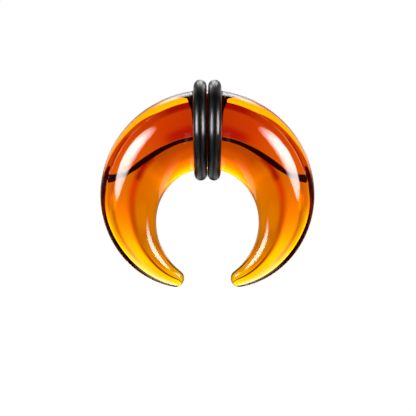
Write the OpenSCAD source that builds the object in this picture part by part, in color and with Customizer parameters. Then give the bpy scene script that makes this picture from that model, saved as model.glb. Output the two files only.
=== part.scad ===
// A septum pincher: one solid crescent of clear amber glass, thickest at its middle, whose
// two arms taper to round tips, and two rubber O-rings side by side round its middle.
// It lies on its side as it would by itself: the O-rings hold the thick middle up off the
// surface, and the two arms lean on it. The origin is on that surface, below the middle of
// the whole piece, with +Z up, +Y towards the thick middle and the tips towards -Y.

/* [Glass crescent] */
// Thickness of the glass at its middle
glass_d = 10; // [8:0.1:11]
// Thickness of the round tips
tip_d = 2.36; // [1.6:0.02:4]
// Radius of the bend, from its centre to the middle of the glass
bend_r = 10.4; // [10:0.1:12]
// How much wider that radius is at the middle of the crescent, and narrower at its sides
bend_oval = 0.15; // [0:0.05:0.3]
// Angle from the middle of the crescent round to the centre of each tip
tip_angle = 155.5; // [140:0.5:160]
// How late the taper comes: 1 is an even taper, 3 keeps the glass thick for longer
taper_power = 1.83; // [1.2:0.01:3]

/* [O-rings] */
// Width of the rubber cord
cord_d = 1.64; // [1.5:0.02:1.8]
// How far the rubber stands out of the glass
ring_stand = 1.36; // [1.1:0.02:1.46]
// Gap between the two O-rings
ring_gap = 0.12; // [0.12:0.01:0.6]
// Lean of each O-ring, which closes that gap a little inside the bend and opens it outside
ring_lean = 0.3; // [0:0.1:0.5]
// How far the O-rings sit in towards the bend's centre, where the glass falls away beside them
ring_sink = 0.13; // [0:0.01:0.15]
// Gap left between the rubber and the glass it grips
grip_gap = 0.03; // [0.02:0.01:0.1]

/* [Smoothness] */
// Sides round the glass
glass_sides = 40; // [16:4:64]
// Sections from the middle of the crescent to one tip
arm_steps = 32; // [12:1:48]
// Sections over a round tip
tip_steps = 6; // [3:1:12]

/* [Hidden] */
glass_r = glass_d / 2;
tip_r = tip_d / 2;
cord_r = cord_d / 2;
ring_step = cord_d + ring_gap;
ring_r = glass_r + ring_stand;
ring_y = bend_r + bend_oval - ring_sink;
ring_fn = 96;
cord_fn = 48;

// The crescent's middle line, by the angle a from its middle: distance from the bend's
// centre, and that distance's change per radian.
function line_r(a) = bend_r + bend_oval * cos(2 * a);
function line_turn(a) = -2 * bend_oval * sin(2 * a);
function line_point(a) = line_r(a) * [sin(a), cos(a)];
function line_speed(a) = norm([line_r(a), line_turn(a)]);
function line_ahead(a) = (line_turn(a) * [sin(a), cos(a)] + line_r(a) * [cos(a), -sin(a)]) / line_speed(a);

// Radius of the glass at that angle, and the slope of its taper along the middle line.
function taper_at(a) = pow(abs(a) / tip_angle, taper_power);
function radius_at(a) = tip_r + (glass_r - tip_r) * (1 - taper_at(a));
function slope_at(a) = a == 0 ? 0
    : -(glass_r - tip_r) * taper_power * taper_at(a) / (a * PI / 180) / line_speed(a);

// A section is the circle where a ball that rolls along inside the glass touches the glass:
// [middle, radius, direction ahead]. A tapering stretch is touched a little ahead of or
// behind the ball's own middle.
function section(middle, ahead, ball_r, lead) =
    [middle + ball_r * cos(lead) * ahead, ball_r * sin(lead), ahead];
function arm_section(a) = section(line_point(a), line_ahead(a), radius_at(a), acos(-slope_at(a)));

// The sections over a round tip, from the arm's last section to just short of the pole.
function tip_lead(end) = acos(-end * slope_at(end * tip_angle));
function tip_section(end, k) = section(line_point(end * tip_angle), end * line_ahead(end * tip_angle),
    tip_r, tip_lead(end) * (1 - k / tip_steps));
function pole(end) = line_point(end * tip_angle) + tip_r * end * line_ahead(end * tip_angle);

sections = concat(
    [for (k = [tip_steps - 1 : -1 : 1]) tip_section(-1, k)],
    [for (i = [-arm_steps : arm_steps]) arm_section(i * tip_angle / arm_steps)],
    [for (k = [1 : tip_steps - 1]) tip_section(1, k)]);

// Points round a section, from the outer side of the bend over the top. All sections turn
// the same way, so the direction ahead at the left tip is turned back.
function onward(s) = s[2] * sign(s[2] * [s[0].y, -s[0].x]);
function rim_point(s, f) = let (out = [-onward(s).y, onward(s).x], across = s[0] + s[1] * cos(f) * out)
    [across.x, across.y, s[1] * sin(f)];
rims = [for (s = sections, j = [0 : glass_sides - 1]) rim_point(s, j * 360 / glass_sides)];
glass_points = concat(rims, [concat(pole(-1), 0), concat(pole(1), 0)]);

// Faces: two triangles between neighbouring sections, and a fan at each pole.
last_rim = (len(sections) - 1) * glass_sides;
left_pole = len(rims);
right_pole = left_pole + 1;
function next(j) = (j + 1) % glass_sides;
glass_faces = concat(
    [for (i = [0 : len(sections) - 2], j = [0 : glass_sides - 1], half = [0, 1])
        let (a = i * glass_sides, b = a + glass_sides)
        half == 0 ? [a + j, b + j, b + next(j)] : [a + j, b + next(j), a + next(j)]],
    [for (j = [0 : glass_sides - 1]) [left_pole, j, next(j)]],
    [for (j = [0 : glass_sides - 1]) [right_pole, last_rim + next(j), last_rim + j]]);

// How the piece lies: the tilt at which the arms touch the surface that the O-rings stand on.
first_touch = 90;
tilt = asin(min([for (a = [first_touch : 0.5 : tip_angle])
    (ring_r - radius_at(a)) / (ring_y - line_r(a) * cos(a))]));
lift = ring_r - ring_y * sin(tilt);
thick_end = ring_y * cos(tilt) + ring_r;
tip_end = min([for (p = glass_points) p.y * cos(tilt) - p.z * sin(tilt)]);

module laid_down() {
    translate([0, -(thick_end + tip_end) / 2, lift]) rotate([tilt, 0, 0]) children();
}

// The solid glass.
module glass_crescent() {
    color([0.86, 0.42, 0.02, 0.75]) laid_down() polyhedron(glass_points, glass_faces);
}

// One O-ring: a round cord whose inner side takes the shape of the bent glass that it grips.
module o_ring(side) {
    color([0.12, 0.12, 0.12]) laid_down() difference() {
        translate([side * ring_step / 2, ring_y, 0]) rotate([0, 90, -side * ring_lean])
            rotate_extrude($fn = ring_fn) translate([ring_r - cord_r, 0]) circle(cord_r, $fn = cord_fn);
        rotate_extrude($fn = ring_fn) translate([bend_r + bend_oval, 0])
            circle(glass_r + grip_gap, $fn = cord_fn);
    }
}

module o_ring_left() { o_ring(-1); }
module o_ring_right() { o_ring(1); }

glass_crescent();
o_ring_left();
o_ring_right();
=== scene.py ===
import math

import bpy
from mathutils import Matrix, Vector


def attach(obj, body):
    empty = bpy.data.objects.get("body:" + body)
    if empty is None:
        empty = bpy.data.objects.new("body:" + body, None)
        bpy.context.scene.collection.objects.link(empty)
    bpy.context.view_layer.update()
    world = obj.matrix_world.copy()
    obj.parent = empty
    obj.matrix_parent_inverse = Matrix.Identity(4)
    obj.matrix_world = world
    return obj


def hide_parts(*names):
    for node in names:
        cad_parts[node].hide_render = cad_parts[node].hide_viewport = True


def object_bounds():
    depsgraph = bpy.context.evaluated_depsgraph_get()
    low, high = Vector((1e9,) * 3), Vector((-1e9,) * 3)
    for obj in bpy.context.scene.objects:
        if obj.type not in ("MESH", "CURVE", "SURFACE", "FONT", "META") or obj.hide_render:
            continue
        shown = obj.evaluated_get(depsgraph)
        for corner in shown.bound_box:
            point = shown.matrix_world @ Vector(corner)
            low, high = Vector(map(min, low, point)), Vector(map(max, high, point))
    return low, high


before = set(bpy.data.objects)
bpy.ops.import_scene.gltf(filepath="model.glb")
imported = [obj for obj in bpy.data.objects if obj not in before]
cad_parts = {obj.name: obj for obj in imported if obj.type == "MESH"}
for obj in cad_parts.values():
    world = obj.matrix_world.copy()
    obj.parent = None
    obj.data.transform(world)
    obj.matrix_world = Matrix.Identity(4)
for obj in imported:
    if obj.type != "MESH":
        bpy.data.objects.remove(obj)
cadLow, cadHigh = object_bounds()
print("frame loaded")

mm = 0.001  # the dictionaries below are in millimetres and degrees
bothSides = ((-1, "left"), (1, "right"))


# Glass crescent: the same named sizes as its solid, on a finer mesh
glass = {
    "thickness": 10.0,  # at the middle
    "tipThickness": 2.36,
    "bendRadius": 10.4,  # from the bend's centre to the middle of the glass
    "bendOval": 0.15,
    "tipAngle": 155.5,
    "taperPower": 1.83,
    "sides": 144,
    "armSections": 200,
    "tipSections": 22,
}

# O-rings: a round cord pressed to the glass it grips
rings = {
    "cord": 1.64,
    "stand": 1.36,  # how far the rubber stands out of the glass
    "gap": 0.12,
    "lean": 0.3,  # away from each other outside the bend
    "sink": 0.13,  # how far they sit in towards the bend's centre
    "gripGap": 0.03,
    "edgeRound": 0.05,  # where the rubber meets the glass
    "around": 256,
    "cordSides": 72,
}


def lineRadius(a):
    return glass["bendRadius"] + glass["bendOval"] * math.cos(2 * a)


def lineTurn(a):
    return -2 * glass["bendOval"] * math.sin(2 * a)


def linePoint(a):
    return Vector((math.sin(a), math.cos(a))) * lineRadius(a)


def lineAhead(a):
    away = Vector((math.sin(a), math.cos(a)))
    along = Vector((math.cos(a), -math.sin(a)))
    return (away * lineTurn(a) + along * lineRadius(a)).normalized()


def taperAt(a):
    return (abs(a) / math.radians(glass["tipAngle"])) ** glass["taperPower"]


def glassRadius(a):
    tipRadius = glass["tipThickness"] / 2
    return tipRadius + (glass["thickness"] / 2 - tipRadius) * (1 - taperAt(a))


def taperSlope(a):
    if a == 0:
        return 0.0
    fall = (glass["thickness"] - glass["tipThickness"]) / 2 * glass["taperPower"] * taperAt(a)
    return -fall / a / math.hypot(lineRadius(a), lineTurn(a))


# How the piece lies: the O-rings hold the middle up and the arms lean on the floor
firstTouch = 90  # no arm touches the floor nearer the middle than this
ringRadius = glass["thickness"] / 2 + rings["stand"]
ringDistance = glass["bendRadius"] + glass["bendOval"] - rings["sink"]


def restTilt():
    halfDegrees = range(firstTouch * 2, int(glass["tipAngle"] * 2) + 1)
    angles = [math.radians(h / 2) for h in halfDegrees]
    rises = [(ringRadius - glassRadius(a)) / (ringDistance - lineRadius(a) * math.cos(a)) for a in angles]
    return math.asin(min(rises))


tilt = restTilt()
lift = ringRadius - ringDistance * math.sin(tilt)
thickEnd = ringDistance * math.cos(tilt) + ringRadius
slide = cadHigh.y / mm - thickEnd
layDown = Matrix.Scale(mm, 4) @ Matrix.Translation((0, slide, lift)) @ Matrix.Rotation(tilt, 4, "X")


def addNode(tree, kind, values=None, **settings):
    node = tree.nodes.new(kind)
    for name, value in settings.items():
        setattr(node, name, value)
    for socket, value in (values or {}).items():
        node.inputs[socket].default_value = value
    return node


def newMaterial(name):
    material = bpy.data.materials.new(name)
    material.use_nodes = True
    material.node_tree.nodes.clear()
    return material, material.node_tree


def newGroup(name, inputs, outputs):
    group = bpy.data.node_groups.new(name, "ShaderNodeTree")
    for socket, default in inputs.items():
        made = group.interface.new_socket(name=socket, in_out="INPUT", socket_type="NodeSocketFloat")
        made.default_value = default
    for socket in outputs:
        group.interface.new_socket(name=socket, in_out="OUTPUT", socket_type="NodeSocketFloat")
    return group, addNode(group, "NodeGroupInput"), addNode(group, "NodeGroupOutput")


def mathNode(tree, operation, first, second=None, clamp=False):
    node = addNode(tree, "ShaderNodeMath", operation=operation, use_clamp=clamp)
    for k, value in enumerate((first, second)):
        if isinstance(value, (int, float)):
            node.inputs[k].default_value = value
        elif value is not None:
            tree.links.new(value, node.inputs[k])
    return node.outputs[0]


# Values multiplied one after the other
def timesNode(tree, first, *others):
    for value in others:
        first = mathNode(tree, "MULTIPLY", first, value)
    return first


# A value less the share of it that a mask takes
def lessNode(tree, value, mask):
    return timesNode(tree, value, mathNode(tree, "SUBTRACT", 1.0, mask))


def rangeNode(tree, value, fromLow, fromHigh, toLow=0.0, toHigh=1.0, smooth=True):
    limits = {"From Min": fromLow, "From Max": fromHigh, "To Min": toLow, "To Max": toHigh}
    node = addNode(tree, "ShaderNodeMapRange", limits)
    node.interpolation_type = "SMOOTHSTEP" if smooth else "LINEAR"
    tree.links.new(value, node.inputs["Value"])
    return node.outputs["Result"]


grain = {
    "fine": {"Roughness": 0.62},
    "mottle": {"Detail": 3.0, "Roughness": 0.5},
    "mottleFrom": (0.3, 0.7),
}


# Fine grain of a moulded or polished surface: Height for a bump, Mottle for slow changes of tone
def makeGrainGroup():
    inputs = {"Grain Scale": 9000.0, "Grain Detail": 4.0, "Mottle Scale": 900.0}
    group, given, put = newGroup("fineGrain", inputs, ("Height", "Mottle"))
    place = addNode(group, "ShaderNodeTexCoord").outputs["Object"]
    fine = addNode(group, "ShaderNodeTexNoise", grain["fine"])
    group.links.new(given.outputs["Grain Detail"], fine.inputs["Detail"])
    mottle = addNode(group, "ShaderNodeTexNoise", grain["mottle"])
    for node, scale in ((fine, "Grain Scale"), (mottle, "Mottle Scale")):
        group.links.new(place, node.inputs["Vector"])
        group.links.new(given.outputs[scale], node.inputs["Scale"])
    group.links.new(fine.outputs[0], put.inputs["Height"])
    group.links.new(rangeNode(group, mottle.outputs[0], *grain["mottleFrom"]), put.inputs["Mottle"])
    return group


traces = {
    "film": {"Detail": 5.0, "Roughness": 0.6, "Distortion": 0.6},
    "filmFrom": (0.52, 0.72),
    "speckEdge": (0.16, 0.08),
}


# Traces of handling: Smudge is a faint film in patches, Specks are single grains of dust
def makeTracesGroup():
    inputs = {"Smudge Scale": 260.0, "Speck Scale": 1900.0, "Speck Share": 0.12}
    group, given, put = newGroup("handlingTraces", inputs, ("Smudge", "Specks"))
    place = addNode(group, "ShaderNodeTexCoord").outputs["Object"]
    film = addNode(group, "ShaderNodeTexNoise", traces["film"])
    group.links.new(place, film.inputs["Vector"])
    group.links.new(given.outputs["Smudge Scale"], film.inputs["Scale"])
    group.links.new(rangeNode(group, film.outputs[0], *traces["filmFrom"]), put.inputs["Smudge"])
    cells = addNode(group, "ShaderNodeTexVoronoi")
    group.links.new(place, cells.inputs["Vector"])
    group.links.new(given.outputs["Speck Scale"], cells.inputs["Scale"])
    near = rangeNode(group, cells.outputs["Distance"], *traces["speckEdge"])
    chosen = mathNode(group, "LESS_THAN", cells.outputs["Color"], given.outputs["Speck Share"])
    group.links.new(timesNode(group, near, chosen), put.inputs["Specks"])
    return group


fineGrain = makeGrainGroup()
handlingTraces = makeTracesGroup()


def placeGroup(tree, group, values):
    node = addNode(tree, "ShaderNodeGroup", node_tree=group)
    for socket, value in values.items():
        node.inputs[socket].default_value = value
    return node


# Clear amber glass, coloured right through
amber = {
    "ior": 1.5,
    "absorbs": (0.9867, 0.9117, 0.0, 1.0),
    "density": 3000.0,  # per metre
    "smudgeRoughness": 0.03,
    "traces": {"Smudge Scale": 230.0},
    "wave": {"Grain Scale": 300.0, "Grain Detail": 0.0},
    "waveDepth": 0.0008,  # in mm
}


def makeAmber():
    material, tree = newMaterial("amber_glass")
    shader = addNode(tree, "ShaderNodeBsdfPrincipled")
    shader.inputs["Base Color"].default_value = (1.0, 1.0, 1.0, 1.0)
    shader.inputs["Transmission Weight"].default_value = 1.0
    shader.inputs["IOR"].default_value = amber["ior"]
    marks = placeGroup(tree, handlingTraces, amber["traces"])
    rough = timesNode(tree, marks.outputs["Smudge"], amber["smudgeRoughness"])
    tree.links.new(rough, shader.inputs["Roughness"])
    wave = placeGroup(tree, fineGrain, amber["wave"])
    bump = addNode(tree, "ShaderNodeBump", {"Strength": 1.0, "Distance": amber["waveDepth"] * mm})
    tree.links.new(wave.outputs["Height"], bump.inputs["Height"])
    tree.links.new(bump.outputs["Normal"], shader.inputs["Normal"])
    volume = {"Color": amber["absorbs"], "Density": amber["density"]}
    inside = addNode(tree, "ShaderNodeVolumeAbsorption", volume)
    out = addNode(tree, "ShaderNodeOutputMaterial")
    tree.links.new(shader.outputs["BSDF"], out.inputs["Surface"])
    tree.links.new(inside.outputs["Volume"], out.inputs["Volume"])
    return material


# Moulded black rubber with a satin skin
rubber = {
    "deep": (0.004, 0.004, 0.0042, 1.0),
    "worn": (0.008, 0.0078, 0.0078, 1.0),
    "dust": (0.06, 0.058, 0.056, 1.0),
    "roughness": (0.3, 0.42),
    "grain": {"Grain Scale": 9000.0, "Mottle Scale": 1100.0},
    "grainDepth": 0.004,  # in mm
    "traces": {"Smudge Scale": 420.0, "Speck Scale": 2600.0},
}


def makeRubber():
    material, tree = newMaterial("black_rubber")
    shader = addNode(tree, "ShaderNodeBsdfPrincipled")
    skin = placeGroup(tree, fineGrain, rubber["grain"])
    marks = placeGroup(tree, handlingTraces, rubber["traces"])
    tone = addNode(tree, "ShaderNodeMix", data_type="RGBA")
    tone.inputs[6].default_value = rubber["deep"]
    tone.inputs[7].default_value = rubber["worn"]
    tree.links.new(skin.outputs["Mottle"], tone.inputs[0])
    dusty = addNode(tree, "ShaderNodeMix", data_type="RGBA")
    dusty.inputs[7].default_value = rubber["dust"]
    tree.links.new(marks.outputs["Specks"], dusty.inputs[0])
    tree.links.new(tone.outputs[2], dusty.inputs[6])
    tree.links.new(dusty.outputs[2], shader.inputs["Base Color"])
    low, high = rubber["roughness"]
    tree.links.new(rangeNode(tree, marks.outputs["Smudge"], 0, 1, low, high), shader.inputs["Roughness"])
    bump = addNode(tree, "ShaderNodeBump", {"Strength": 1.0, "Distance": rubber["grainDepth"] * mm})
    tree.links.new(skin.outputs["Height"], bump.inputs["Height"])
    tree.links.new(bump.outputs["Normal"], shader.inputs["Normal"])
    out = addNode(tree, "ShaderNodeOutputMaterial")
    tree.links.new(shader.outputs["BSDF"], out.inputs["Surface"])
    return material


def meshPiece(name, points, faces, material, smooth=True):
    mesh = bpy.data.meshes.new(name)
    mesh.from_pydata(points, [], faces)
    mesh.polygons.foreach_set("use_smooth", [smooth] * len(mesh.polygons))
    mesh.materials.append(material)
    mesh.update()
    piece = bpy.data.objects.new(name, mesh)
    bpy.context.scene.collection.objects.link(piece)
    return piece


# Sections of the crescent as (middle, radius, outward direction), from the arm's end over a tip
def tipSections(end):
    a = end * math.radians(glass["tipAngle"])
    out = Vector((-lineAhead(a).y, lineAhead(a).x))
    firstLead = math.acos(-end * taperSlope(a))
    ballRadius = glass["tipThickness"] / 2
    made = []
    for k in range(1, glass["tipSections"]):
        lead = firstLead * (1 - k / glass["tipSections"])
        middle = linePoint(a) + lineAhead(a) * end * ballRadius * math.cos(lead)
        made.append((middle, ballRadius * math.sin(lead), out))
    return made


def armSection(a):
    lead = math.acos(-taperSlope(a))
    out = Vector((-lineAhead(a).y, lineAhead(a).x))
    radius = glassRadius(a)
    return linePoint(a) + lineAhead(a) * radius * math.cos(lead), radius * math.sin(lead), out


def makeGlass(material):
    steps, sides = glass["armSections"], glass["sides"]
    tip = math.radians(glass["tipAngle"])
    arms = [armSection(tip * i / steps) for i in range(-steps, steps + 1)]
    sections = tipSections(-1)[::-1] + arms + tipSections(1)
    points = []
    for middle, radius, out in sections:
        for j in range(sides):
            f = 2 * math.pi * j / sides
            flat = middle + out * radius * math.cos(f)
            points.append(layDown @ Vector((flat.x, flat.y, radius * math.sin(f))))
    for end in (-1, 1):
        pole = linePoint(end * tip) + lineAhead(end * tip) * end * glass["tipThickness"] / 2
        points.append(layDown @ Vector((pole.x, pole.y, 0)))
    faces = []
    for i in range(len(sections) - 1):
        for j in range(sides):
            k = (j + 1) % sides
            a, b = i * sides, (i + 1) * sides
            faces.append((a + j, a + k, b + k, b + j))
    lastRim = (len(sections) - 1) * sides
    leftPole, rightPole = len(points) - 2, len(points) - 1
    for j in range(sides):
        k = (j + 1) % sides
        faces.append((leftPole, k, j))
        faces.append((rightPole, lastRim + j, lastRim + k))
    piece = meshPiece("glass_body", points, faces, material)
    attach(piece, "root")
    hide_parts("glass_crescent")
    print("glass made,", len(faces), "faces")


# A point of the rubber that would lie in the bent glass is moved out to its surface, with a soft edge
def pressToGlass(point):
    bend = glass["bendRadius"] + glass["bendOval"]
    flat = math.hypot(point.x, point.y)
    outward, depth = flat - bend, point.z
    distance = math.hypot(outward, depth)
    grip = glass["thickness"] / 2 + rings["gripGap"]
    soft = rings["edgeRound"]
    pressed = (distance + grip + math.sqrt((distance - grip) ** 2 + soft ** 2)) / 2
    share = pressed / distance
    scale = (bend + outward * share) / flat
    return Vector((point.x * scale, point.y * scale, depth * share))


def makeRing(side, name, node, material):
    around, cordSides = rings["around"], rings["cordSides"]
    cord = rings["cord"] / 2
    step = rings["cord"] + rings["gap"]
    lean = Matrix.Rotation(math.radians(-side * rings["lean"]), 3, "Z")
    middle = Vector((side * step / 2, ringDistance, 0))
    points = []
    for i in range(around):
        turn = 2 * math.pi * i / around
        away = Vector((0, math.cos(turn), math.sin(turn)))
        for j in range(cordSides):
            f = 2 * math.pi * j / cordSides
            local = away * (ringRadius - cord + cord * math.cos(f)) + Vector((cord * math.sin(f), 0, 0))
            points.append(layDown @ pressToGlass(middle + lean @ local))
    faces = []
    for i in range(around):
        for j in range(cordSides):
            a, b = i * cordSides, (i + 1) % around * cordSides
            k = (j + 1) % cordSides
            faces.append((a + j, b + j, b + k, a + k))
    piece = meshPiece(name, points, faces, material)
    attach(piece, "root")
    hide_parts(node)
    print(name, "made,", len(faces), "faces")


makeGlass(makeAmber())
blackRubber = makeRubber()
for side, word in bothSides:
    makeRing(side, "o_ring_rubber_" + word, "o_ring_" + word, blackRubber)


# Stage: a white floor, and under it a light table with cards that only the glass shows.
# Places on it are (angle from the middle of the crescent, distance from the bend's centre),
# and the lists give a value for each angle or distance.
table = {
    "depth": 5.0,  # below the floor
    "reach": 200.0,
    # outside the black line, behind the thick middle and beside the arms
    "topByDistance": [(11, 0.72), (12.4, 0.76), (13, 1.0), (14, 1.35), (15, 2.4), (16, 3.0), (18, 4.6),
                      (20, 6.2), (23, 7.4), (25, 8.6), (29, 12.0), (35, 13.0), (45, 10.0), (60, 6.0),
                      (90, 4.0)],
    "topShare": [(0, 1.0), (32, 1.0), (40, 0.8), (45, 0.6), (50, 0.4), (55, 0.26), (60, 0.08), (66, 0),
                 (180, 0)],
    "sideByAngle": [(0, 2.2), (40, 2.3), (47, 2.3), (53, 1.85), (60, 1.47), (70, 1.22), (80, 1.06),
                    (90, 0.95), (100, 0.8), (107, 0.66), (113, 0.58), (125, 0.68), (180, 0.65)],
    "redShare": [(0, 0.92), (30, 0.98), (40, 0.87), (47, 0.74), (60, 0.76), (75, 0.86), (90, 0.98),
                 (105, 1.08), (113, 1.3), (125, 1.42), (145, 1.45), (152, 1.6), (180, 1.6)],
    # under the arms' own middle line and inside it
    "ridgeByAngle": [(60, 1.4), (80, 1.55), (90, 1.85), (100, 2.4), (107, 2.75), (115, 2.65), (125, 2.1),
                     (135, 1.65), (145, 1.5), (152, 1.55), (180, 1.5)],
    "ridgeByDistance": [(7.5, 1.9), (8.3, 1.8), (8.6, 1.45), (9.1, 1.0), (12, 1.0)],
    "innerShare": [(60, 0.55), (75, 0.6), (80, 0.85), (86, 1.1), (100, 1.0), (180, 1.0)],
    "innerFrom": (9.9, 9.3),
    "outerFrom": (11.1, 12.0),
    "trough": [(60, 0.5), (80, 0.5), (90, 0.5), (105, 0.55), (112, 0.45), (118, 0.25), (126, 0.0),
               (180, 0.0)],
    "troughPlace": (9.85, 0.6),
    # a thin dark line along each arm: painted contact shadow of the arm on the floor, seen through the glass
    "shadowLinePlace": [(36, 12.0), (44, 11.85), (57, 11.8), (66, 11.74), (90, 11.7), (105, 11.55), (120, 11.45),
                  (132, 11.28), (142, 11.15), (180, 11.1)],
    "shadowLineDepth": [(30, 0.0), (38, 0.2), (43, 0.95), (55, 0.95), (61, 0.7), (90, 0.6), (105, 0.66),
                  (112, 0.76), (118, 0.84), (128, 0.95), (138, 0.985), (180, 0.985)],
    "shadowLineRed": [(30, 0.5), (57, 0.52), (61, 0.05), (75, 0.2), (90, 0.6), (105, 0.85), (115, 1.0),
                (180, 1.0)],
    "shadowLineWidth": 0.45,
    # the dark end beyond the tips
    "tail": {"angles": (126, 133), "near": (16, 17.5), "far": (27, 22), "light": 0.06},
    "touchEdge": (1.2, 0.2),
    # angle and half width of a place, its distance and half depth, and its shares of red and green
    "touches": [(114, 11, 12.6, 0.8, 1.1, 1.45), (141, 9, 12.4, 0.6, 1.05, 1.65),
                (76, 6, 10.0, 0.5, 1.5, 1.6), (68, 11, 9.4, 0.9, 1.5, 1.1), (90, 9, 9.3, 0.4, 0.85, 0.85),
                (85, 14, 12.7, 1.0, 1.05, 1.2), (110, 5, 17.9, 0.6, 1.1, 1.2),
                (95, 17, 8.9, 1.4, 0.78, 1.0), (128, 10, 12.0, 0.35, 0.85, 0.95),
                (105, 8, 14.1, 0.8, 1.0, 0.78), (120, 13, 16.8, 1.4, 0.78, 0.55),
                (78, 9, 20, 1.5, 0.95, 0.8), (17, 10, 13.8, 0.6, 0.86, 1.0)],
}

# The black line runs along the red card's edge and turns in at its ends
blackLine = {
    "inside": [(0, 12.0), (10, 12.0), (21, 11.92), (28, 11.85), (35, 11.73), (42, 11.58), (49, 11.36),
               (55, 11.12), (57.5, 10.88), (60, 10.3), (61.3, 9.8), (61.6, 8.9), (61.3, 8.4), (60.6, 7.9)],
    "outside": [(0, 12.22), (10, 12.2), (22, 12.12), (29, 12.06), (37, 11.96), (45, 11.78), (52, 11.55),
                (57, 11.27), (61, 10.93), (64, 10.4), (65.3, 9.9), (66, 9.1), (65.5, 8.6), (64, 8.2)],
}


def tablePoint(a, r, height=0.0, side=1):
    t = math.radians(a)
    return Vector((side * r * math.sin(t), slide + r * math.cos(t), height - table["depth"])) * mm


# A smooth line through given places
def smoothLine(places, steps=6):
    made = []
    for k in range(len(places) - 1):
        before, start = Vector(places[max(k - 1, 0)]), Vector(places[k])
        end, after = Vector(places[k + 1]), Vector(places[min(k + 2, len(places) - 1)])
        for s in range(steps):
            t = s / steps
            curve = (start * 2 + (end - before) * t + (before * 2 - start * 5 + end * 4 - after) * t * t
                     + (start * 3 - before - end * 3 + after) * t ** 3) / 2
            made.append(tuple(curve))
    return made + [places[-1]]


def glowMaterial(name, strength=1.0, lights=False):
    material, tree = newMaterial(name)
    if not lights:
        material.cycles.emission_sampling = "NONE"
    glow = addNode(tree, "ShaderNodeEmission", {"Strength": strength})
    out = addNode(tree, "ShaderNodeOutputMaterial")
    tree.links.new(glow.outputs[0], out.inputs["Surface"])
    return material, tree, glow


# Red and green light by their own numbers; blue follows the green
def tintGlow(tree, glow, red, green):
    colour = addNode(tree, "ShaderNodeCombineColor")
    for socket, value in (("Red", red), ("Green", green), ("Blue", green)):
        tree.links.new(value, colour.inputs[socket])
    tree.links.new(colour.outputs[0], glow.inputs["Color"])


def stagePiece(piece, camera=False, glossy=False, transmission=False, diffuse=False):
    piece.visible_camera = camera
    piece.visible_glossy = glossy
    piece.visible_transmission = transmission
    piece.visible_diffuse = diffuse


def curveNode(tree, value, points):
    low, high = points[0][0], points[-1][0]
    top = max(y for x, y in points)
    node = addNode(tree, "ShaderNodeFloatCurve")
    curve = node.mapping.curves[0]
    while len(curve.points) < len(points):
        curve.points.new(0.5, 0.5)
    for made, (x, y) in zip(curve.points, points):
        made.location = ((x - low) / (high - low), y / top)
        made.handle_type = "AUTO_CLAMPED"
    node.mapping.update()
    tree.links.new(rangeNode(tree, value, low, high, smooth=False), node.inputs["Value"])
    return timesNode(tree, node.outputs[0], top)


def mixNode(tree, share, first, second):
    node = addNode(tree, "ShaderNodeMix")
    for socket, value in ((0, share), (2, first), (3, second)):
        if isinstance(value, (int, float)):
            node.inputs[socket].default_value = value
        else:
            tree.links.new(value, node.inputs[socket])
    return node.outputs[0]


# Square of how many halves away from the middle a value is
def squareAway(tree, value, middle, half):
    share = mathNode(tree, "DIVIDE", mathNode(tree, "SUBTRACT", value, middle), half)
    return timesNode(tree, share, share)


# 1 at a place, falling to 0 on both sides of it
def bumpNode(tree, value, place, width):
    away = mathNode(tree, "ABSOLUTE", mathNode(tree, "SUBTRACT", value, place))
    return rangeNode(tree, away, width, 0.0)


# A place on a surface: in the scene, in mm, or in the piece's own shares
def scenePlace(tree):
    split = addNode(tree, "ShaderNodeSeparateXYZ")
    tree.links.new(addNode(tree, "ShaderNodeNewGeometry").outputs["Position"], split.inputs[0])
    return [mathNode(tree, "DIVIDE", part, mm) for part in split.outputs]


def ownPlace(tree):
    split = addNode(tree, "ShaderNodeSeparateXYZ")
    tree.links.new(addNode(tree, "ShaderNodeTexCoord").outputs["Object"], split.inputs[0])
    return split.outputs


def polarPlace(tree):
    x, y, z = scenePlace(tree)
    x = mathNode(tree, "ABSOLUTE", x)
    y = mathNode(tree, "SUBTRACT", y, slide)
    squares = mathNode(tree, "ADD", timesNode(tree, x, x), timesNode(tree, y, y))
    distance = mathNode(tree, "SQRT", squares)
    angle = mathNode(tree, "DEGREES", mathNode(tree, "ARCTAN2", x, y))
    return angle, distance


def levelSquare(name, reach, height, material, **seenBy):
    corners = ((-reach, -reach), (reach, -reach), (reach, reach), (-reach, reach))
    points = [Vector((x, y, height)) * mm for x, y in corners]
    stagePiece(meshPiece(name, points, [(0, 1, 2, 3)], material, False), **seenBy)


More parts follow.
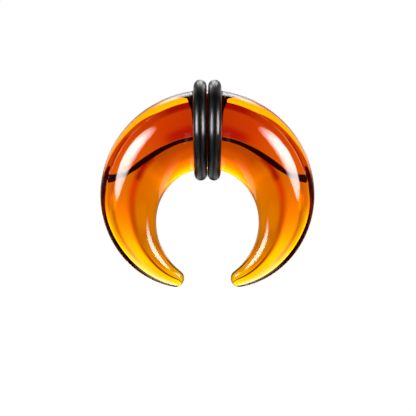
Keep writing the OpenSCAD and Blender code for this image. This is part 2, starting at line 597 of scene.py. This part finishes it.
def makeTable():
    material, tree, light = glowMaterial("table_glow")
    angle, distance = polarPlace(tree)
    side = curveNode(tree, angle, table["sideByAngle"])
    top = curveNode(tree, distance, table["topByDistance"])
    outer = mixNode(tree, curveNode(tree, angle, table["topShare"]), side, top)
    tail = table["tail"]
    band = timesNode(tree, rangeNode(tree, distance, *tail["near"]), rangeNode(tree, distance, *tail["far"]))
    end = timesNode(tree, rangeNode(tree, angle, *tail["angles"]), band)
    outer = mixNode(tree, end, outer, tail["light"])
    inner = curveNode(tree, angle, table["ridgeByAngle"])
    inner = timesNode(tree, inner, curveNode(tree, distance, table["ridgeByDistance"]))
    near = rangeNode(tree, distance, *table["innerFrom"])
    inner = timesNode(tree, inner, mixNode(tree, near, 1.0, curveNode(tree, angle, table["innerShare"])))
    trough = curveNode(tree, angle, table["trough"])
    trough = timesNode(tree, trough, bumpNode(tree, distance, *table["troughPlace"]))
    inner = lessNode(tree, inner, trough)
    whole = mixNode(tree, rangeNode(tree, distance, *table["outerFrom"]), inner, outer)
    # Painted contact shadow: a thin dark line along each arm's middle, taken out of the table's light
    place = curveNode(tree, angle, table["shadowLinePlace"])
    shadowLine = curveNode(tree, angle, table["shadowLineDepth"])
    shadowLine = timesNode(tree, shadowLine, bumpNode(tree, distance, place, table["shadowLineWidth"]))
    green = lessNode(tree, whole, shadowLine)
    red = lessNode(tree, whole, timesNode(tree, shadowLine, curveNode(tree, angle, table["shadowLineRed"])))
    red = timesNode(tree, red, curveNode(tree, angle, table["redShare"]))
    for a, halfAngle, r, halfDistance, redShare, greenShare in table["touches"]:
        squares = mathNode(tree, "ADD", squareAway(tree, angle, a, halfAngle),
                           squareAway(tree, distance, r, halfDistance))
        mask = rangeNode(tree, squares, *table["touchEdge"])
        red = timesNode(tree, red, mixNode(tree, mask, 1.0, redShare))
        green = timesNode(tree, green, mixNode(tree, mask, 1.0, greenShare))
    tintGlow(tree, light, red, green)
    levelSquare("light_table", table["reach"], -table["depth"], material, transmission=True)


# A card between two edges that are given from the same end
def makeCard(name, firstEdge, secondEdge, height, side, material):
    first, second = smoothLine(firstEdge), smoothLine(secondEdge)
    points = [tablePoint(a, r, height, side) for a, r in first + second]
    count = len(first)
    faces = [(k, k + 1, count + k + 1, count + k) for k in range(count - 1)]
    stagePiece(meshPiece(name, points, faces, material, False), transmission=True)


# The red card fills the bend inside the black line
redCard = {
    "outRed": [(0, 0.82), (20, 0.9), (30, 1.0), (45, 1.1), (70, 1.12)],
    "outGreen": [(0, 0.45), (15, 0.5), (25, 0.57), (30, 0.68), (35, 0.85), (40, 1.0), (50, 1.15),
                 (70, 1.2)],
    "inRed": [(0, 0.5), (15, 0.5), (21, 0.62), (27, 0.78), (33, 0.86), (45, 1.0), (70, 1.1)],
    "inGreen": [(0, 0.06), (16, 0.06), (21, 0.2), (27, 0.36), (35, 0.5), (45, 0.64), (58, 0.85),
                (70, 0.9)],
    "fringe": [(0, 0.85), (18, 0.85), (26, 0.4), (32, 0.0), (70, 0.0)],
    "farFrom": (9.9, 10.4),
    "fringeFrom": (11.3, 11.7),
    "deepAngles": ((38, 43), (61, 57)),
    "deep": [(6, 0.5), (8, 0.5), (8.25, 1.0), (8.55, 1.0), (8.75, 0.0), (9, 0.0)],
    # how much of each colour the fringe and the deep band take
    "shares": (("Red", 0.25, 0.45), ("Green", 0.9, 0.85)),
    "inside": 0.5,
    "height": 0.1,  # above the table
}


def makeRedCard():
    material, tree, light = glowMaterial("red_card")
    angle, distance = polarPlace(tree)
    far = rangeNode(tree, distance, *redCard["farFrom"])
    fringe = curveNode(tree, angle, redCard["fringe"])
    fringe = timesNode(tree, fringe, rangeNode(tree, distance, *redCard["fringeFrom"]))
    ends = timesNode(tree, *[rangeNode(tree, angle, *limits) for limits in redCard["deepAngles"]])
    deep = timesNode(tree, ends, curveNode(tree, distance, redCard["deep"]))
    tones = []
    for word, fringeShare, deepShare in redCard["shares"]:
        inward = curveNode(tree, angle, redCard["in" + word])
        outward = curveNode(tree, angle, redCard["out" + word])
        tone = mixNode(tree, far, inward, outward)
        tone = lessNode(tree, tone, timesNode(tree, fringe, fringeShare))
        tones.append(lessNode(tree, tone, timesNode(tree, deep, deepShare)))
    tintGlow(tree, light, *tones)
    edge = blackLine["inside"]
    middle = [(a, redCard["inside"]) for a, r in edge]
    for side, word in bothSides:
        makeCard("red_card_" + word, edge, middle, redCard["height"], side, material)


# The bright card inside it gives the yellow edge along the outside of the bend
brightCard = {
    "edge": [(0, 8.95), (12, 8.95), (22, 8.84), (27, 8.3), (31, 7.8), (36, 7.35), (41, 6.95), (45, 6.6),
             (49, 5.9), (52, 4.8), (56, 3.0)],
    "byAngle": [(0, 5.2), (28, 5.2), (38, 5.2), (42, 4.5), (45, 3.4), (50, 2.7), (56, 1.4), (70, 1.2)],
    "byDistance": [(1, 0.62), (2.5, 0.68), (4, 0.8), (5, 0.9), (6, 0.92), (7.5, 0.95), (8.2, 1.1),
                   (9.0, 1.25)],
    "inside": 0.3,
    "height": 0.2,
}


def makeBrightCard():
    material, tree, light = glowMaterial("bright_card")
    angle, distance = polarPlace(tree)
    strength = curveNode(tree, angle, brightCard["byAngle"])
    strength = timesNode(tree, strength, curveNode(tree, distance, brightCard["byDistance"]))
    tree.links.new(strength, light.inputs["Strength"])
    middle = [(a, brightCard["inside"]) for a, r in brightCard["edge"]]
    for side, word in bothSides:
        makeCard("bright_card_" + word, brightCard["edge"], middle, brightCard["height"], side, material)


# Dark cards: the black line, the dark outer edge of each arm, and a wedge behind the O-rings
darkCards = {
    "sideOutside": [(34, 1.2), (42, 2.6), (50, 3.6), (55, 4.4), (57, 7.8), (62, 8.15), (66, 8.2),
                    (70, 8.1), (74, 7.85), (78, 7.6), (85, 7.7), (90, 7.9), (95, 8.1), (100, 8.28),
                    (113, 8.45), (122, 8.27), (130, 8.15), (137, 8.0), (145, 7.6), (160, 7.0), (180, 7.0)],
    "red": [(34, 0.01), (70, 0.01), (73, 0.24), (76.5, 0.22), (79.5, 0.015), (95, 0.012), (112, 0.012),
            (118, 0.06), (126, 0.09), (140, 0.12), (180, 0.14)],
    "green": [(34, 0.003), (70, 0.003), (74, 0.03), (80, 0.005), (112, 0.005), (126, 0.02), (180, 0.03)],
    "wedge": [(8.6, 4.0), (8.6, 8.5), (8.4, 9.6), (7.9, 10.6), (8.3, 11.3), (8.9, 11.95)],
    "gap": 1.2,  # half the width of the card behind the slit between the O-rings
    "gapReach": (0.3, 26),
    "inside": 0.2,
    "heights": (0.25, 0.3, 0.35),  # edge, line, wedge
}


def makeDarkCards():
    black = glowMaterial("black_card", 0.0)[0]
    edging, tree, light = glowMaterial("edge_card")
    angle = polarPlace(tree)[0]
    tones = [curveNode(tree, angle, darkCards[word]) for word in ("red", "green")]
    tintGlow(tree, light, *tones)
    edge, wedge = darkCards["sideOutside"], darkCards["wedge"]
    edgeHeight, lineHeight, wedgeHeight = darkCards["heights"]
    edgeMiddle = [(a, darkCards["inside"]) for a, r in edge]
    wedgeMiddle = [(0, r) for a, r in wedge]
    for side, word in bothSides:
        makeCard("side_card_" + word, edge, edgeMiddle, edgeHeight, side, edging)
        makeCard("black_line_" + word, blackLine["inside"], blackLine["outside"], lineHeight, side, black)
        makeCard("wedge_" + word, wedge, wedgeMiddle, wedgeHeight, side, black)
    gap = darkCards["gap"]
    near, far = darkCards["gapReach"]
    corners = ((-gap, near), (gap, near), (gap, far), (-gap, far))
    points = [tablePoint(0, r, wedgeHeight) + Vector((x, 0, 0)) * mm for x, r in corners]
    stagePiece(meshPiece("gap_card", points, [(0, 1, 2, 3)], black, False), transmission=True)


# Light that only the steep outer edges mirror, on a plane under the floor
sheen = {
    "reach": 90.0,
    "under": 0.5,  # below the light table
    "topByDistance": [(18, 0.0), (20, 1.2), (26, 1.4), (30, 3.6), (34, 4.8), (40, 4.3), (45, 2.5),
                      (50, 1.2), (54, 0.0)],
    "topByAngle": [(0, 1.0), (18, 1.0), (22, 0.8), (25, 0.5), (28, 0.2), (31, 0.05), (34, 0.0),
                   (180, 0.0)],
    "sideByDistance": [(16.5, 0.0), (18, 1.0), (25, 0.9), (31, 0.1), (34, 0.0)],
    "sideByAngle": [(0, 0.0), (20, 0.0), (28, 0.75), (50, 0.75), (57, 0.85), (63, 0.8), (70, 0.45),
                    (80, 0.15), (90, 0.03), (120, 0.05), (130, 0.0), (180, 0.0)],
    "innerByDistance": [(0, 0.05), (3.5, 0.1), (4.3, 0.6), (5.2, 0.9), (6.5, 1.0), (7.6, 0.3), (8.2, 0.0)],
    "innerByAngle": [(0, 2.4), (27, 2.3), (45, 1.2), (60, 0.3), (95, 0.25), (112, 0.3), (122, 0.35),
                     (134, 0.95), (147, 1.25), (158, 1.6), (167, 0.7), (180, 0.8)],
    "lowByDistance": [(20, 0.0), (23, 0.3), (27, 1.8), (34, 4.4), (42, 4.8), (60, 5.0), (130, 5.3)],
    "lowByAngle": [(0, 0.0), (133, 0.0), (140, 0.13), (146, 0.2), (151, 0.34), (156, 0.5), (162, 0.8),
                   (168, 1.0), (180, 1.0)],
}


def makeSheen():
    material, tree, light = glowMaterial("sheen_panel")
    angle, distance = polarPlace(tree)
    whole = 0.0
    for word in ("top", "side", "inner", "low"):
        part = curveNode(tree, distance, sheen[word + "ByDistance"])
        part = timesNode(tree, part, curveNode(tree, angle, sheen[word + "ByAngle"]))
        whole = mathNode(tree, "ADD", part, whole)
    tree.links.new(whole, light.inputs["Strength"])
    levelSquare("sheen_panel", sheen["reach"], -table["depth"] - sheen["under"], material, glossy=True)


# A low light far out beyond the tips. Places on it are shares of its distance: across, and up.
tipLight = {
    "away": 260.0,
    "level": 3.0,  # height that its shares are measured from, in mm
    "strength": 5.6,
    "byAcross": [(0, 1.0), (0.1, 1.0), (0.2, 0.86), (0.28, 0.76), (0.45, 0.38), (0.6, 0.24), (0.75, 0.1),
                 (0.9, 0)],
    "byHeight": [(-0.2, 1.0), (0.08, 1.0), (0.2, 0.75), (0.33, 0.4), (0.5, 0.2), (0.65, 0.0)],
}


def makeTipLight():
    material, tree, light = glowMaterial("tip_light", lights=True)
    across, along, up = ownPlace(tree)
    across = mathNode(tree, "ABSOLUTE", across)
    share = curveNode(tree, across, tipLight["byAcross"])
    share = timesNode(tree, share, curveNode(tree, up, tipLight["byHeight"]), tipLight["strength"])
    tree.links.new(share, light.inputs["Strength"])
    wide = tipLight["byAcross"][-1][0]
    low, high = tipLight["byHeight"][0][0], tipLight["byHeight"][-1][0]
    corners = [(-wide, 0, low), (wide, 0, low), (wide, 0, high), (-wide, 0, high)]
    piece = meshPiece("tip_light", corners, [(0, 1, 2, 3)], material, False)
    d = tipLight["away"] * mm
    piece.matrix_world = Matrix.Translation((0, -d, tipLight["level"] * mm)) @ Matrix.Scale(d, 4)
    stagePiece(piece, glossy=True)


# The floor is white by its own light, with a soft shadow painted under the O-rings
floor = {
    "reach": 3000.0,
    "white": 1.0,
    "base": {"Base Color": (0.85, 0.85, 0.85, 1.0), "Roughness": 0.9},
    # half the shadow's size each way, its soft edge and its depth
    "shadow": (1.5, 5.85, 0.7, 0.85),
}


def makeFloor():
    material, tree = newMaterial("white_floor")
    shader = addNode(tree, "ShaderNodeBsdfPrincipled", floor["base"])
    shader.inputs["Specular IOR Level"].default_value = 0.0
    shader.inputs["Emission Color"].default_value = (1.0, 1.0, 1.0, 1.0)
    x, y, z = scenePlace(tree)
    halfAcross, halfAlong, softEdge, depth = floor["shadow"]
    middle = ringDistance * math.cos(tilt) + slide
    squares = mathNode(tree, "ADD", squareAway(tree, x, 0.0, halfAcross),
                       squareAway(tree, y, middle, halfAlong))
    shade = rangeNode(tree, squares, 1.0, softEdge, floor["white"], floor["white"] * (1 - depth))
    tree.links.new(shade, shader.inputs["Emission Strength"])
    out = addNode(tree, "ShaderNodeOutputMaterial")
    tree.links.new(shader.outputs[0], out.inputs["Surface"])
    levelSquare("floor", floor["reach"], 0.0, material, camera=True, diffuse=True)


# Soft boxes stand far out at both sides. Places on them are shares of that distance:
# how far along +Y, and how far up.
softBox = {
    "away": 260.0,
    "middle": (0.06, 0.95),
    "half": (0.79, 0.58),
    "edge": (1.08, 0.8),
    "corners": ((-0.8, 0.3), (0.95, 0.3), (0.95, 1.5), (-0.8, 1.5)),
    "centre": (-1.0, 8.0),  # what the shares are measured from, in mm
    "strength": 24.0,
    "byHeight": [(0.3, 0.72), (0.7, 0.95), (0.85, 1.0), (1.1, 0.6), (1.38, 0.0)],
    "byLength": [(-0.8, 0.5), (-0.4, 0.6), (0.0, 0.9), (0.2, 1.0), (0.36, 0.95), (0.5, 0.7), (0.66, 0.38),
                 (0.8, 0.15), (0.95, 0.0)],
}


def makeSoftBox(side, word):
    material, tree, light = glowMaterial("soft_box", lights=True)
    across, along, up = ownPlace(tree)
    squares = [squareAway(tree, value, middle, half)
               for value, middle, half in zip((along, up), softBox["middle"], softBox["half"])]
    whole = rangeNode(tree, mathNode(tree, "ADD", *squares), *softBox["edge"])
    for value, points in ((up, softBox["byHeight"]), (along, softBox["byLength"])):
        whole = timesNode(tree, whole, curveNode(tree, value, points))
    tree.links.new(timesNode(tree, whole, softBox["strength"]), light.inputs["Strength"])
    corners = [(0, y, z) for y, z in softBox["corners"]]
    piece = meshPiece("soft_box_" + word, corners, [(0, 1, 2, 3)], material, False)
    d = softBox["away"] * mm
    y, z = softBox["centre"]
    piece.matrix_world = Matrix.Translation((side * d, y * mm, z * mm)) @ Matrix.Scale(d, 4)
    stagePiece(piece, glossy=True)


# A thin pale strip near each side gives the fine line along the outside of the bend.
# Places on it are (along +Y, up).
paleStrip = {
    "away": 30.0,
    "line": [(-1, 0.5), (1.5, 4.6), (4.2, 6.9), (7.3, 8.2), (10.4, 9.2), (12.5, 9.8), (16.3, 10.5),
             (20.5, 11.2), (27.3, 12.0), (36.4, 12.4), (44, 12.5)],
    "half": 0.4,
    "strength": [(-1, 0.8), (4, 2.0), (12, 3.4), (27, 3.0), (44, 1.2)],
}


def makePaleStrip(side, word):
    material, tree, light = glowMaterial("pale_strip", lights=True)
    across, along, up = scenePlace(tree)
    tree.links.new(curveNode(tree, along, paleStrip["strength"]), light.inputs["Strength"])
    line = smoothLine(paleStrip["line"])
    points = []
    for y, z in line:
        for offset in (-paleStrip["half"], paleStrip["half"]):
            points.append(Vector((side * paleStrip["away"], y, z + offset)) * mm)
    faces = [(2 * k, 2 * k + 1, 2 * k + 3, 2 * k + 2) for k in range(len(line) - 1)]
    stagePiece(meshPiece("pale_strip_" + word, points, faces, material, False), glossy=True)


# A black screen stands in the opening, so that no arm mirrors the far soft box, and carries the glows
# that the arms' inner sides mirror. Places on it are (along +Y, up).
screen = {
    "low": (-30.0, -12.0),
    "high": (-0.5, 45.0),
    # middle of a glow, half its size each way, its slant and its strength
    "glows": [((-8.88, 4.95), (0.7, 1.9), -0.45, 15.0), ((-10.05, 3.5), (0.85, 1.4), -0.3, 11.0)],
    "glowEdge": (1.3, 0.3),
    "glowReach": 1.14,
    "glowOff": 0.05,  # from the screen
    "crossAt": -4.0,
    "crossHalf": 2.8,
    "crossGlow": [(-1.5, 0.0), (-0.5, 0.9), (6, 0.9), (8, 0.5), (11, 0.2), (14, 0.0), (45, 0.0)],
}

# Flags keep light off the sides of the O-rings. Each has its distance from the middle, its corners
# as (along +Y, up), and the faint light of its inner and outer face.
flags = {
    "tunnel": (1.75, [(-4, 1), (0.6, 1), (0.6, 14), (-4, 14)], 0.7, 0.0),
    "collar": (2.0, [(11.9, -5.4), (20, -5.4), (20, 5.4), (11.9, 5.4)], 0.06, 0.0),
    "cap_flag": (2.0, [(12.2, 5.4), (14.6, 5.4), (14.4, 9.6), (12.7, 11), (12.2, 11)], 0.35, 0.0),
    "top_flag": (2.8, [(-5, 11.8), (6.2, 11.8), (4.0, 20), (-5, 20)], 0.4, 0.0),
}


def uprightCard(name, x, corners, material):
    points = [Vector((x, y, z)) * mm for y, z in corners]
    piece = meshPiece(name, points, [tuple(range(len(points)))], material, False)
    stagePiece(piece, glossy=True)


def makeFlags():
    for name, (away, corners, inner, outer) in flags.items():
        for side, word in bothSides:
            material, tree, light = glowMaterial(name)
            behind = addNode(tree, "ShaderNodeNewGeometry").outputs["Backfacing"]
            first, second = (inner, outer) if side < 0 else (outer, inner)
            tree.links.new(mixNode(tree, behind, first, second), light.inputs["Strength"])
            uprightCard(name + "_" + word, side * away, corners, material)


def makeGlow(number, middle, half, slant, strength):
    material, tree, light = glowMaterial("arm_glow", lights=True)
    x, y, z = scenePlace(tree)
    slid = timesNode(tree, mathNode(tree, "SUBTRACT", z, middle[1]), slant)
    y = mathNode(tree, "SUBTRACT", y, slid)
    squares = mathNode(tree, "ADD", squareAway(tree, y, middle[0], half[0]),
                       squareAway(tree, z, middle[1], half[1]))
    tree.links.new(rangeNode(tree, squares, *screen["glowEdge"], 0.0, strength), light.inputs["Strength"])
    wide, high = (h * screen["glowReach"] for h in half)
    corners = []
    for across, up in ((-1, -1), (1, -1), (1, 1), (-1, 1)):
        corners.append((middle[0] + across * wide + slant * up * high, middle[1] + up * high))
    for side, word in bothSides:
        uprightCard("arm_glow_%d_%s" % (number, word), side * screen["glowOff"], corners, material)


def makeScreen():
    black = glowMaterial("screen", 0.0)[0]
    (lowY, lowZ), (highY, highZ) = screen["low"], screen["high"]
    uprightCard("screen", 0, [(lowY, lowZ), (highY, lowZ), (highY, highZ), (lowY, highZ)], black)
    for number, glow in enumerate(screen["glows"]):
        makeGlow(number + 1, *glow)
    cross, tree, light = glowMaterial("cross_screen")
    x, y, z = scenePlace(tree)
    tree.links.new(curveNode(tree, z, screen["crossGlow"]), light.inputs["Strength"])
    half, place = screen["crossHalf"], screen["crossAt"]
    corners = [(-half, lowZ), (half, lowZ), (half, highZ), (-half, highZ)]
    points = [Vector((x, place, z)) * mm for x, z in corners]
    stagePiece(meshPiece("cross_screen", points, [(0, 1, 2, 3)], cross, False), glossy=True)


# The room round the stage: dim where it is only mirrored, white where it is seen
room = {"mirrored": 0.02, "seen": 1.0}


def makeWorld():
    world = bpy.data.worlds.new("studio")
    world.use_nodes = True
    tree = world.node_tree
    tree.nodes.clear()
    path = addNode(tree, "ShaderNodeLightPath")
    seen = mathNode(tree, "ADD", path.outputs["Is Camera Ray"], path.outputs["Is Transmission Ray"], True)
    back = addNode(tree, "ShaderNodeBackground", {"Color": (1, 1, 1, 1)})
    tree.links.new(rangeNode(tree, seen, 0, 1, room["mirrored"], room["seen"]), back.inputs["Strength"])
    out = addNode(tree, "ShaderNodeOutputWorld")
    tree.links.new(back.outputs[0], out.inputs["Surface"])
    bpy.context.scene.world = world


# The camera looks straight down
camera = {
    "lens": 50.0,
    "sensor": 36.0,
    "place": (0.0765, -2.7605, 80.07),
    "clip": (0.001, 20.0),  # in metres
}


def makeCamera():
    data = bpy.data.cameras.new("camera")
    data.lens, data.sensor_width = camera["lens"], camera["sensor"]
    data.clip_start, data.clip_end = camera["clip"]
    made = bpy.data.objects.new("camera", data)
    made.location = Vector(camera["place"]) * mm
    bpy.context.scene.collection.objects.link(made)
    bpy.context.scene.camera = made


makeFloor()
makeTable()
makeRedCard()
makeBrightCard()
makeDarkCards()
makeSheen()
makeTipLight()
for side, word in bothSides:
    makeSoftBox(side, word)
    makePaleStrip(side, word)
makeScreen()
makeFlags()
makeWorld()
makeCamera()
print("stage made")

scene = bpy.context.scene
scene.view_settings.view_transform = "Standard"
# Light runs a long way inside the bent glass, mirrored from wall to wall
scene.cycles.max_bounces = 24
scene.cycles.transmission_bounces = 16
scene.cycles.glossy_bounces = 16
scene.cycles.caustics_refractive = False
scene.cycles.caustics_reflective = False
